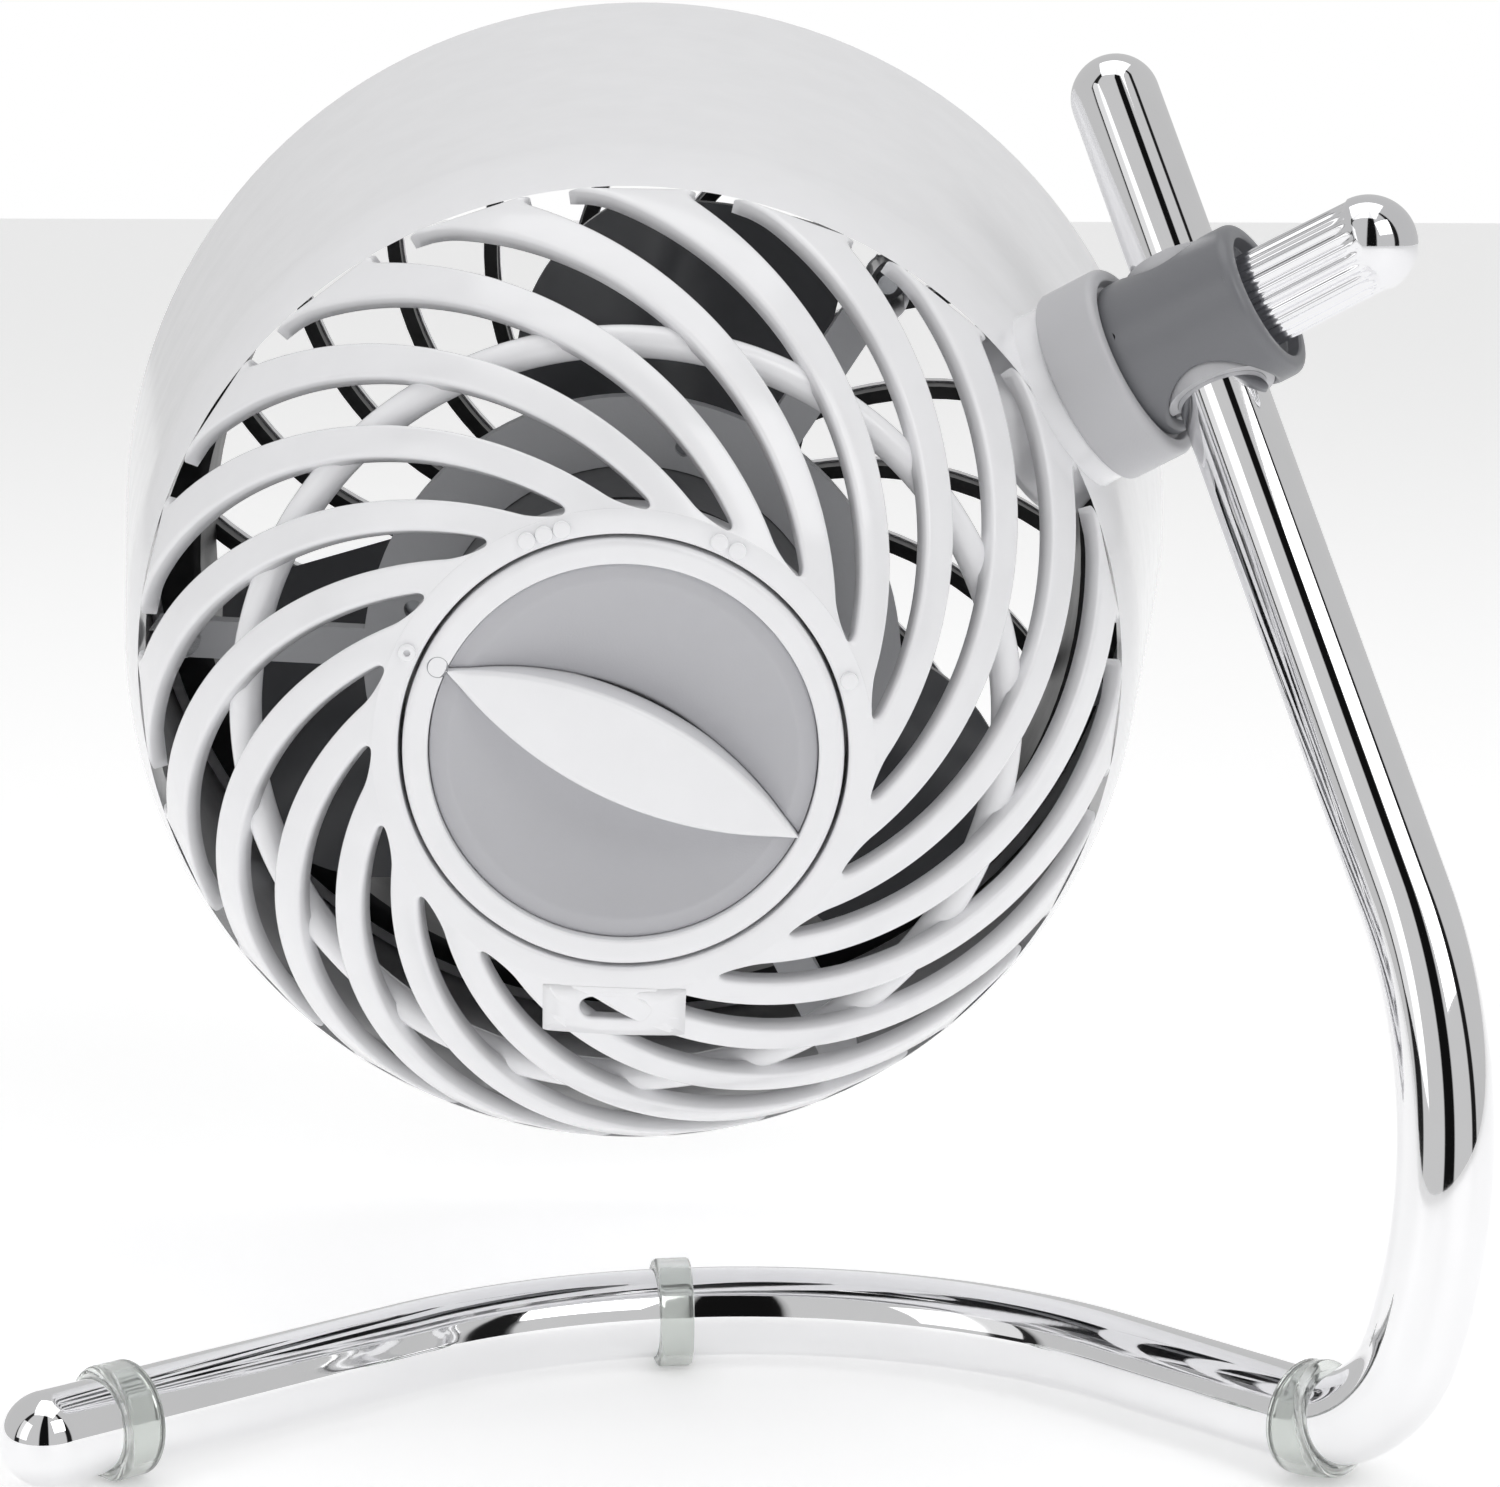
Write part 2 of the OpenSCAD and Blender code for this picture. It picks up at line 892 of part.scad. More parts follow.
module at_grille_screws() {
    for (i = [0:2]) {
        rotate([0, 0, 70 + 120 * i]) translate([grille_r - 2, 0, 0]) children();
    }
}

module inner_duct() {
    color("#1a1a1a")
        in_head(grille_s)
        difference() {
            union() {
                ring(duct_r + 1.2, duct_r, 22);
                ring(grille_r - 0.1, duct_r, 3);
            }
            at_grille_screws() translate([0, 0, -over]) cylinder(h = 5, r = 1.2);
        }
}

// One grille bar: an arc that leaves the middle and curls out to the ring
module grille_bar(w, h) {
    bar_arc_r = 56;
    lean = 24;
    rotate([0, 0, -lean])
        translate([16, 0, 0])
        translate([0, -bar_arc_r, 0])
        rotate([0, 0, 4])
        rotate_extrude(angle = 90)
        translate([bar_arc_r - w / 2, 0])
        square([w, h]);
}

module grille_layer(w, h, hub) {
    intersection() {
        for (i = [0:bar_count - 1]) {
            rotate([0, 0, i * 360 / bar_count]) grille_bar(w, h);
        }
        cylinder(h = h, r = grille_r - 1);
    }
    cylinder(h = h, r = hub);
}

module grille_inner() {
    color("#1a1a1a")
        in_head(grille_s + grille_t) {
            difference() {
                union() {
                    grille_layer(bar_w, grille_t, 19);
                    ring(grille_r, grille_r - 4, grille_t);
                }
                at_grille_screws() translate([0, 0, grille_t - 2]) cylinder(h = 3, r = 1.2);
            }
        }
}

module grille_trim() {
    color("whitesmoke")
        in_head(grille_s + grille_t + trim_t) {
            difference() {
                grille_layer(bar_w + 0.6, trim_t, 20);
                translate([0, 0, -over]) cylinder(h = trim_t + 2 * over, r = 16);
            }
            ring(grille_r, grille_r - 3, trim_t);
        }
}

module front_bezel() {
    lip = head_depth - grille_s - grille_t - trim_t;
    color("white")
        in_head(head_depth)
        difference() {
            union() {
                cylinder(h = bezel_len, r1 = rim_r, r2 = flank_r(shell_len));
                cylinder(h = bezel_len + 5, r = flank_r(shell_len - 5) - shell_wall - 0.5);
            }
            translate([0, 0, -over]) cylinder(h = lip + over, r1 = grille_r + 1, r2 = grille_r - 4);
            translate([0, 0, lip]) cylinder(h = 20, r = grille_r);
        }
}

module grille_cap() {
    color("whitesmoke")
        in_head(grille_s + grille_t + trim_t)
        cylinder(h = trim_t, r1 = 15, r2 = 16);
}

// They hold the grille to the duct's flange from behind
module grille_screws() {
    color("gray")
        in_head(grille_s - 3)
        at_grille_screws() {
            cylinder(h = 1.8, r = 2.4);
            translate([0, 0, -5]) cylinder(h = 5 + over, r = 1.2);
        }
}

// ---------- what is drawn ----------

stand_tube();
tube_cap_top();
tube_cap_base();
foot_ring_left();
foot_ring_middle();
foot_ring_right();
clamp_bush();
clamp_body();
clamp_pad();
clamp_stud();
clamp_knob();
pivot_washer();
pivot_screw();
pivot_collar();
rear_shell();
switch_body();
switch_shaft();
speed_knob();
knob_dish_upper();
knob_dish_lower();
motor_mount();
motor_mount_screws();
motor_cover();
stator_core();
motor_coils();
rotor_core();
motor_shaft();
rear_bearing();
front_bearing();
motor_front_plate();
motor_screws();
fan_blade();
blade_nut();
inner_duct();
grille_inner();
grille_trim();
front_bezel();
grille_cap();
grille_screws();
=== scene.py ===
import json
import bpy
import numpy as np
from mathutils import Matrix


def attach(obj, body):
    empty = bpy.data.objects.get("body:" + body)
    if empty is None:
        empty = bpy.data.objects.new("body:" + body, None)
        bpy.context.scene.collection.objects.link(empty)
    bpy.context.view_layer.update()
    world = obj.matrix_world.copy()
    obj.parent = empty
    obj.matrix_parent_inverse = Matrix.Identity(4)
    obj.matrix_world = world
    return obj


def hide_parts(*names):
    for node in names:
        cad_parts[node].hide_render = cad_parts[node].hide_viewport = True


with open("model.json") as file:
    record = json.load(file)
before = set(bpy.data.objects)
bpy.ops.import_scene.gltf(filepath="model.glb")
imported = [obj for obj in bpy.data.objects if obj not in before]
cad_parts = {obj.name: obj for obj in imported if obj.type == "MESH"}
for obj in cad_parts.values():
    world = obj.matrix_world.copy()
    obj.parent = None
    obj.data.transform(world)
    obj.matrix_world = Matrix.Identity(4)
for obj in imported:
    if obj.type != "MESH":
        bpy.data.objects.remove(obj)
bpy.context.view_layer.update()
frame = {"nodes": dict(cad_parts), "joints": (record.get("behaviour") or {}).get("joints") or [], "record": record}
mm = 0.001
joints = {j["name"]: j for j in frame["joints"]}


def unit(v):
    # a vector divided by its length
    v = np.asarray(v, float)
    return v / np.linalg.norm(v)


# the two working frames: the head (z to the back, zero at the hub face) and the clamp (x along the pivot)
fanAxis = unit(joints["fan_spin"]["axis"])
hubFace = np.array(joints["fan_spin"]["pos_m"]) + fanAxis * 70 * mm
pivotAxis = unit(joints["head_tilt"]["axis"])
riserAxis = unit(joints["clamp_swivel"]["axis"])
clampCentre = np.array(joints["clamp_swivel"]["pos_m"])
headX = unit(pivotAxis - fanAxis * np.dot(pivotAxis, fanAxis))
headY = np.cross(fanAxis, headX)
clampY = np.cross(riserAxis, pivotAxis)


def headPoint(r, angle, s):
    # polar place in the head: radius, angle from the pivot side, distance in front of the hub face
    r, angle, s = np.broadcast_arrays(r, angle, s)
    return (hubFace + (r * np.cos(angle))[..., None] * mm * headX
            + (r * np.sin(angle))[..., None] * mm * headY - s[..., None] * mm * fanAxis)


def headPlace(x, y, s):
    # square place in the head: x to the pivot side, y across, s in front of the hub face
    x, y, s = np.broadcast_arrays(x, y, s)
    return hubFace + x[..., None] * mm * headX + y[..., None] * mm * headY - s[..., None] * mm * fanAxis


def clampPoint(x, r, angle):
    # polar place about the pivot: distance along it from the riser, radius, angle from the riser's direction
    x, r, angle = np.broadcast_arrays(x, r, angle)
    return (clampCentre + x[..., None] * mm * pivotAxis + (r * np.cos(angle))[..., None] * mm * riserAxis
            + (r * np.sin(angle))[..., None] * mm * clampY)


def roundCorner(a, corner, b, radius, steps=6):
    # a quadratic curve that cuts the corner between a and b, starting radius away from it on each side
    a, corner, b = (np.array(p, float) for p in (a, corner, b))
    start = corner + unit(a - corner) * radius
    end = corner + unit(b - corner) * radius
    t = np.linspace(0, 1, steps)[:, None]
    return (1 - t) ** 2 * start + 2 * t * (1 - t) * corner + t ** 2 * end


def roundedProfile(points, radii, steps=6):
    # an open profile whose inner corners are cut by the given radii
    out = [np.array([points[0]], float)]
    for i in range(1, len(points) - 1):
        if radii[i] > 0:
            out.append(roundCorner(points[i - 1], points[i], points[i + 1], radii[i], steps))
        else:
            out.append(np.array([points[i]], float))
    out.append(np.array([points[-1]], float))
    return np.concatenate(out)


def patchFaces(nu, nv, wrapU, wrapV):
    # the quads of a grid of nu by nv points
    u = np.arange(nu if wrapU else nu - 1)
    v = np.arange(nv if wrapV else nv - 1)
    uu, vv = np.meshgrid(u, v, indexing="ij")
    u2, v2 = (uu + 1) % nu, (vv + 1) % nv
    return np.stack([uu * nv + vv, u2 * nv + vv, u2 * nv + v2, uu * nv + v2], -1).reshape(-1, 4)


def makePiece(name, patches, material, body, replaced=()):
    # joins grids of points into one mesh; a patch is (points, wrapU, wrapV, sign), sign -1 faces inwards
    verts, faces, base = [], [], 0
    for points, wrapU, wrapV, sign in patches:
        points = np.asarray(points, float)
        f = patchFaces(points.shape[0], points.shape[1], wrapU, wrapV)
        flat = points.reshape(-1, 3)
        a, b, c, d = (flat[f[:, k]] for k in range(4))
        normal = np.cross(c - a, d - b)
        middle = (a + b + c + d) / 4
        if np.sum((middle - flat.mean(0)) * normal) * sign < 0:
            f = f[:, ::-1]
        verts.append(flat)
        faces.append(f + base)
        base += len(flat)
    verts, faces = np.concatenate(verts), np.concatenate(faces)
    mesh = bpy.data.meshes.new(name)
    mesh.from_pydata(verts.tolist(), [], faces.tolist())
    mesh.polygons.foreach_set("use_smooth", np.ones(len(faces), bool))
    mesh.update()
    mesh.validate()
    piece = bpy.data.objects.new(name, mesh)
    bpy.context.scene.collection.objects.link(piece)
    mesh.materials.append(material)
    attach(piece, body)
    if replaced:
        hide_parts(*replaced)
    print("piece", name, len(verts))
    return piece


def lathe(profile, place, turns=192):
    # profile points (radius, distance) carried round an axis; place(radius, angle, distance) gives the point
    profile = np.asarray(profile, float)
    angle = np.linspace(0, 2 * np.pi, turns, endpoint=False)
    return place(profile[:, :1], angle[None, :], profile[:, 1:])


# ---- materials


def linear(hexColour):
    # sRGB hex to linear colour
    c = np.array([int(hexColour[i:i + 2], 16) for i in (1, 3, 5)]) / 255
    c = np.where(c <= 0.04045, c / 12.92, ((c + 0.055) / 1.055) ** 2.4)
    return (*map(float, c), 1.0)


def addNode(tree, kind, settings=None, **links):
    # adds a node, sets its properties and inputs, and links sockets given as (node, output)
    node = tree.nodes.new(kind)
    for key, value in (settings or {}).items():
        if hasattr(node, key):
            setattr(node, key, value)
        else:
            node.inputs[key].default_value = value
    for key, (other, output) in links.items():
        tree.links.new(other.outputs[output], node.inputs[key.replace("_", " ")])
    return node


def makeMaterial(name, colour, roughness, metallic=0.0, ior=1.5, grain=0.4, bump=0.02, spread=0.04,
                 tint=0.03, coat=0.0, transmission=0.0, smear=120.0):
    # a moulded or plated surface: fine grain in the bump, slow cloudy change in colour and roughness
    # grain is the grain's size in mm, and smear the size in 1/m of the slow change
    material = bpy.data.materials.new(name)
    material.use_nodes = True
    tree = material.node_tree
    tree.nodes.clear()
    out = addNode(tree, "ShaderNodeOutputMaterial")
    bsdf = addNode(tree, "ShaderNodeBsdfPrincipled",
                   {"Metallic": metallic, "IOR": ior, "Coat Weight": coat,
                    "Transmission Weight": transmission})
    tree.links.new(bsdf.outputs["BSDF"], out.inputs["Surface"])
    coords = addNode(tree, "ShaderNodeTexCoord")
    slow = addNode(tree, "ShaderNodeTexNoise", {"Scale": smear, "Detail": 3.0, "Roughness": 0.5},
                   Vector=(coords, "Object"))
    fine = addNode(tree, "ShaderNodeTexNoise", {"Scale": 1000.0 / grain, "Detail": 2.0},
                   Vector=(coords, "Object"))
    base = np.array(linear(colour)[:3])
    ramp = addNode(tree, "ShaderNodeMix", {"data_type": "RGBA"}, Factor=(slow, "Fac"))
    # sockets 6 and 7 of a colour mix are its two colours, and output 2 is the mixed colour
    ramp.inputs[6].default_value = (*(base * (1 - tint)), 1)
    ramp.inputs[7].default_value = (*np.minimum(base * (1 + tint), 1), 1)
    tree.links.new(ramp.outputs[2], bsdf.inputs["Base Color"])
    rough = addNode(tree, "ShaderNodeMapRange",
                    {"To Min": max(roughness - spread, 0.0), "To Max": roughness + spread},
                    Value=(slow, "Fac"))
    tree.links.new(rough.outputs["Result"], bsdf.inputs["Roughness"])
    bumpNode = addNode(tree, "ShaderNodeBump", {"Strength": bump, "Distance": 0.0002}, Height=(fine, "Fac"))
    tree.links.new(bumpNode.outputs["Normal"], bsdf.inputs["Normal"])
    return material


# glossy ABS straight from a polished mould: clean white with a faint orange peel
glossWhite = makeMaterial("polishedWhiteAbs", "#F4F4F6", 0.16, ior=1.53, grain=2.2, bump=0.03, coat=0.15)
innerWhite = makeMaterial("mouldedWhiteAbs", "#E9E9EB", 0.34, grain=0.8, bump=0.05)
# satin ABS, fine spark-eroded texture
collarGrey = makeMaterial("satinPaleGreyAbs", "#C2C2C5", 0.38, grain=0.35, bump=0.10, tint=0.02)
barrelGrey = makeMaterial("satinMidGreyAbs", "#77787C", 0.34, grain=0.35, bump=0.10, tint=0.03)
dishGrey = makeMaterial("fineSatinGreyAbs", "#BDBDC1", 0.42, grain=0.3, bump=0.12, tint=0.02)
mountGrey = makeMaterial("mouldedGreyNylon", "#B9BABD", 0.45, grain=0.5, bump=0.10)
# dark parts are carbon-filled mouldings, a little dusty
blackDuct = makeMaterial("mouldedBlackAbs", "#1B1B1D", 0.40, grain=0.4, bump=0.08, spread=0.10)
motorBlack = makeMaterial("blackStovedEnamel", "#202022", 0.30, grain=1.2, bump=0.06, coat=0.3)
bladeSmoke = makeMaterial("smokeGreyAcrylic", "#58595C", 0.20, ior=1.49, grain=2.5, bump=0.03, tint=0.06)
# decorative chrome over bright nickel on buffed steel tube: near mirror
chromeTube = makeMaterial("brightChromePlate", "#F0F0F1", 0.035, metallic=1.0, grain=1.6, bump=0.006,
                          spread=0.02)
knobChrome = makeMaterial("chromePlatedAbs", "#EAEAEC", 0.06, metallic=1.0, grain=0.9, bump=0.012,
                          spread=0.03)
zincSteel = makeMaterial("zincPlatedSteel", "#A9ABAE", 0.32, metallic=1.0, grain=0.5, bump=0.08)
castAlloy = makeMaterial("castAluminium", "#A6A8AA", 0.48, metallic=1.0, grain=0.7, bump=0.25)
copperWire = makeMaterial("enamelledCopper", "#B4653A", 0.30, metallic=1.0, grain=0.4, bump=0.20)
bronzeBush = makeMaterial("sinteredBronze", "#A07A42", 0.42, metallic=1.0, grain=0.25, bump=0.20)
# moulded silicone, water clear with a faint cloud, so the tube shows through it
clearRing = makeMaterial("clearSilicone", "#F4F7F4", 0.12, ior=1.41, grain=1.5, bump=0.05,
                         transmission=0.9)

slotMaterials = {
    "chromed_tube": chromeTube, "chromed_knob": knobChrome, "soft_ring": clearRing,
    "white_plastic": glossWhite, "pale_plastic": collarGrey, "grey_plastic": barrelGrey,
    "collar_plastic": collarGrey,
    "dish_plastic": dishGrey, "black_plastic": blackDuct, "black_enamel": motorBlack,
    "blade_plastic": bladeSmoke, "steel": zincSteel, "copper_wire": copperWire, "bronze": bronzeBush,
    "cast_metal": castAlloy}
for part in frame["record"]["subparts"]:
    cadPart = frame["nodes"][part["node"]]
    cadPart.data.materials.clear()
    cadPart.data.materials.append(slotMaterials[part["material_slot"]])
frame["nodes"]["motor_mount"].data.materials[0] = mountGrey
print("materials on", len(frame["nodes"]), "nodes")

# ---- the bent tube

tubeStand = {"radius": 7.0, "bendCentre": (-5.36, 92.91, 8.1), "baseRadius": 78.0, "baseSweep": 91.0,
             "leftLeg": 64.0, "rightLeg": 37.5, "cornerRadius": 19.6, "cornerTurn": 77.0, "gap": 2.0,
             "riserRadius": 80.0, "riserTurn": 45.5, "riserLength": 137.0, "roll": 7.2}


def turnVector(v, axis, angle):
    # Rodrigues' rotation of v about a unit axis, for one angle or a column of angles
    angle = np.asarray(angle, float)[..., None]
    return (v * np.cos(angle) + np.cross(axis, v) * np.sin(angle)
            + axis * np.dot(axis, v) * (1 - np.cos(angle)))


def tubePath(p):
    # straight and circular lengths laid end to end from the free end to the riser's top
    half = np.radians(p["baseSweep"] / 2)
    centre = np.array(p["bendCentre"])
    start = np.array([np.sin(half), -np.cos(half), 0])
    heading = -np.array([np.cos(half), np.sin(half), 0])
    point = centre + start * p["baseRadius"] - heading * p["leftLeg"]
    places, headings = [point[None]], [heading[None]]

    def straight(length, steps):
        t = np.linspace(0, length, steps + 1)[1:, None]
        places.append(places[-1][-1] + heading * t)
        headings.append(np.repeat(heading[None], steps, 0))

    def bend(radius, turn, axis, steps):
        middle = places[-1][-1] + radius * np.cross(axis, heading)
        t = np.radians(np.linspace(0, turn, steps + 1)[1:])
        places.append(middle + turnVector(places[-1][-1] - middle, axis, t))
        headings.append(turnVector(heading, axis, t))
        return headings[-1][-1]

    up = np.array([0, 0, 1.0])
    straight(p["leftLeg"], 30)
    heading = bend(p["baseRadius"], p["baseSweep"], -up, 90)
    straight(p["rightLeg"], 20)
    across = np.cross(heading, turnVector(up, heading, np.radians(-p["roll"])))
    heading = bend(p["cornerRadius"], p["cornerTurn"], across, 60)
    straight(p["gap"], 2)
    heading = bend(p["riserRadius"], p["riserTurn"], across, 60)
    straight(p["riserLength"], 50)
    return np.concatenate(places), np.concatenate(headings)


def carriedFrames(headings):
    # a side vector carried along the path so that it never twists
    sides = [unit(np.cross(headings[0], [0, 0, 1.0]))]
    for h in headings[1:]:
        sides.append(unit(sides[-1] - h * np.dot(sides[-1], h)))
    sides = np.array(sides)
    return sides, np.cross(headings, sides)


pathPlaces, pathHeadings = tubePath(tubeStand)
pathSides, pathUps = carriedFrames(pathHeadings)


def sweptRing(places, headings, sides, ups, radii, turns=128):
    # circles of the given radii, square to the path
    angle = np.linspace(0, 2 * np.pi, turns, endpoint=False)
    radii = np.asarray(radii)[:, None, None]
    ringShape = (np.cos(angle)[None, :, None] * sides[:, None]
                 + np.sin(angle)[None, :, None] * ups[:, None])
    return (places[:, None] + ringShape * radii) * mm


def domeEnd(index, sign, radius):
    # a half sphere on an end of the path
    count = 24
    t = np.linspace(0, np.pi / 2, count)
    places = pathPlaces[index] + sign * pathHeadings[index] * (radius * np.sin(t))[:, None]
    heading, side, up = (np.repeat(a[index][None], count, 0)
                         for a in (pathHeadings, pathSides, pathUps))
    return sweptRing(places, heading, side, up, np.maximum(radius * np.cos(t), 0.001))


tubeR = tubeStand["radius"]
low = domeEnd(0, -1, tubeR)[::-1][:-1]
high = domeEnd(-1, 1, tubeR)[1:]
body = sweptRing(pathPlaces, pathHeadings, pathSides, pathUps, np.full(len(pathPlaces), tubeR))
makePiece("chromedTube", [(np.concatenate([low, body, high]), False, True, 1)], chromeTube, "stand",
          ("stand_tube", "tube_cap_top", "tube_cap_base"))

# ---- soft foot rings

# the left ring is set along the tube from its free end, and the middle one by its angle on the wide bend
footRings = {"thickness": 1.6, "width": 5.8, "edge": 0.7, "floorGap": 0.02, "tubeGap": 0.02,
             "leftMiddle": 12.0, "middleAngle": 34.5}


def footRing(name, centreIndexes, node):
    # a sleeve with rounded edges that follows the tube, pressed a little flat underneath
    count = 48
    steps = np.interp(np.linspace(0, 1, count), [0, 1], centreIndexes)
    index = np.arange(len(pathPlaces))
    pick = lambda a: np.stack([np.interp(steps, index, a[:, k]) for k in range(3)], 1)
    places, headings, sides, ups = pick(pathPlaces), pick(pathHeadings), pick(pathSides), pick(pathUps)
    along = np.linspace(-1, 1, count) * footRings["width"] / 2
    inset = np.clip((np.abs(along) - footRings["width"] / 2 + footRings["edge"]) / footRings["edge"], 0, 1)
    drop = footRings["edge"] * (1 - np.sqrt(np.maximum(1 - inset ** 2, 0)))
    outer = sweptRing(places, headings, sides, ups, tubeR + footRings["thickness"] - drop)
    outer[..., 2] = np.maximum(outer[..., 2], footRings["floorGap"] * mm)
    inner = sweptRing(places, headings, sides, ups, np.full(count, tubeR + footRings["tubeGap"]))
    loop = np.concatenate([outer, inner[::-1]])
    makePiece(name, [(loop, True, True, 1)], clearRing, "stand", (node,))


def pathSpan(firstMm, lastMm):
    # the fractional point numbers at two distances along the tube from its free end
    distance = np.concatenate([[0], np.cumsum(np.linalg.norm(np.diff(pathPlaces, axis=0), axis=1))])
    return np.interp([firstMm, lastMm], distance, np.arange(len(distance)))


bendArc = np.radians(tubeStand["baseSweep"]) * tubeStand["baseRadius"]
halfRing = footRings["width"] / 2
leftRingAt = footRings["leftMiddle"]
middleRingAt = tubeStand["leftLeg"] + np.radians(footRings["middleAngle"]) * tubeStand["baseRadius"]
rightRingAt = tubeStand["leftLeg"] + bendArc + tubeStand["rightLeg"]
footRing("leftFootRing", pathSpan(leftRingAt - halfRing, leftRingAt + halfRing), "foot_ring_left")
footRing("middleFootRing", pathSpan(middleRingAt - halfRing, middleRingAt + halfRing), "foot_ring_middle")
footRing("rightFootRing", pathSpan(rightRingAt, rightRingAt + footRings["width"]), "foot_ring_right")
print("stand done")

# ---- rear shell: band, hub, slats and boss

shellForm = {"domeRadius": 81.0, "domeCentre": 72.5, "wall": 2.6, "flank": 7.85, "end": 140.0,
             "wellRadius": 32.5, "wellDepth": 13.0, "slots": 19, "slatWidth": 4.1, "slatArc": 49.7,
             "arcOffset": 30.8, "slotInner": 36.3, "slotOuter": 75.8, "phase": -29.7, "arcTurn": 99.0,
             "edge": 0.55, "bossRadius": 14.6, "reach": 106.0}
domeR, domeC, wall = shellForm["domeRadius"], shellForm["domeCentre"], shellForm["wall"]


def domeDepth(radius, inset=0.0):
    # distance in front of the hub face of a sphere drawn inset
    return domeC - np.sqrt(np.maximum((domeR - inset) ** 2 - np.asarray(radius, float) ** 2, 0))


def flankProfile(inset, first, count=60):
    # dome from a first radius to the tangent circle, then the straight flank to the shell's end
    flank = np.radians(shellForm["flank"])
    last = (domeR - inset) * np.cos(flank)
    tangentS = domeC - domeR * np.sin(flank)
    a0 = np.arcsin(first / (domeR - inset))
    a = np.linspace(a0, np.pi / 2 - flank, count)
    dome = np.stack([(domeR - inset) * np.sin(a), domeC - (domeR - inset) * np.cos(a)], 1)
    s = np.linspace(dome[-1, 1], shellForm["end"], 24)[1:]
    side = np.stack([last + (s - dome[-1, 1]) * np.tan(flank), s], 1)
    return np.concatenate([dome, side])


slotIn, slotOut = shellForm["slotInner"], shellForm["slotOuter"]
outerBand = flankProfile(0, slotOut)
innerBand = flankProfile(wall, slotOut)
tipWall = np.array([outerBand[0], innerBand[0]])
endWall = np.array([outerBand[-1], innerBand[-1]])

wellR = shellForm["wellRadius"]
hubFlat = np.sqrt(domeR ** 2 - domeC ** 2)
hubTop = roundedProfile([(wellR, shellForm["wellDepth"]), (wellR, 0), (hubFlat, 0),
                         (slotIn, domeDepth(slotIn))], [0, 0.7, 0, 0], 8)
hubUnder = np.array([(slotIn, domeDepth(slotIn)), (slotIn, domeDepth(slotIn) + wall), (wellR + 1.8, 3.4),
                     (wellR + 1.8, shellForm["wellDepth"] + 1.8), (3.05, shellForm["wellDepth"] + 1.8),
                     (3.05, shellForm["wellDepth"]), (wellR, shellForm["wellDepth"])])

# each slat: a closed section between two circle arcs, its edges rounded, set out at constant
# distance from the axis; it swells at both ends to round off the slots' ends
pitch = 2 * np.pi / shellForm["slots"]
edge, slatW = shellForm["edge"], shellForm["slatWidth"]
quarter = np.linspace(0, np.pi / 2, 5)
sectionAcross = np.concatenate([edge - edge * np.sin(quarter[::-1]),
                                slatW - edge + edge * np.sin(quarter), [slatW, 0.0]])
sectionDeep = np.concatenate([edge - edge * np.cos(quarter[::-1]), edge - edge * np.cos(quarter),
                              [wall, wall]])
along = slotIn + (slotOut - slotIn) * (0.5 - 0.5 * np.cos(np.linspace(0, np.pi, 90)))
halfSlot, halfTip, tipShare = 2.0, 1.15, 0.7
near = np.clip(along - slotIn, 0, halfSlot)
swell = halfSlot - np.sqrt(halfSlot ** 2 - (halfSlot - near) ** 2)
far = np.clip(slotOut - along, 0, halfTip)
swellOut = halfTip - np.sqrt(np.maximum(halfTip ** 2 - (halfTip - far) ** 2, 0))
grow = (swell + tipShare * swellOut)[None, :, None]
side = np.where(sectionAcross < slatW / 2, -1.0, 1.0)[None, None, :]
across = sectionAcross[None, None, :] + side * grow
arcRadius = shellForm["slatArc"] + across
offset = shellForm["arcOffset"]
rho = along[None, :, None]
turnBack = np.arccos(np.clip((rho ** 2 + offset ** 2 - arcRadius ** 2) / (2 * rho * offset), -1, 1))
slatNumber = np.arange(shellForm["slots"])[:, None, None]
slatAngle = np.radians(shellForm["phase"] + shellForm["arcTurn"]) + slatNumber * pitch - turnBack
depth = sectionDeep[None, None, :]
shrink = (domeR - depth) / domeR
slatR = rho * shrink * np.ones_like(slatAngle)
slatS = domeC - (domeC - domeDepth(rho)) * shrink * np.ones_like(slatAngle)
slats = headPoint(slatR, slatAngle, slatS)

ribRing = {"radius": 56.6, "depth": 20.5, "thick": 2.4}
ringTurn = np.linspace(0, 2 * np.pi, 32, endpoint=False)
ribProfile = np.stack([ribRing["radius"] + ribRing["thick"] * np.cos(ringTurn),
                       ribRing["depth"] + ribRing["thick"] * np.sin(ringTurn)], 1)

bandTurns, hubTurns = 360, 256
shellPatches = [(lathe(profile, headPoint, bandTurns), False, True, sign)
                for profile, sign in ((outerBand, 1), (innerBand, -1), (tipWall, -1), (endWall, 1))]
shellPatches += [(lathe(profile, headPoint, hubTurns), False, True, 1) for profile in (hubTop, hubUnder)]
shellPatches.append((lathe(ribProfile, headPoint, hubTurns), True, True, 1))
shellPatches += [(slats[k], False, True, 1) for k in range(shellForm["slots"])]

# the patch of plain wall round the cord's outlet: a grid from the oblong hole out to a square edge
outletForm = {"angle": -123.8, "radius": 39.5, "halfLength": 3.1, "halfWidth": 1.95, "in": -4.0,
              "out": 5.0, "side": 10.5, "edge": 0.5, "lift": 0.03, "deep": 3.0, "skirt": 2.5}


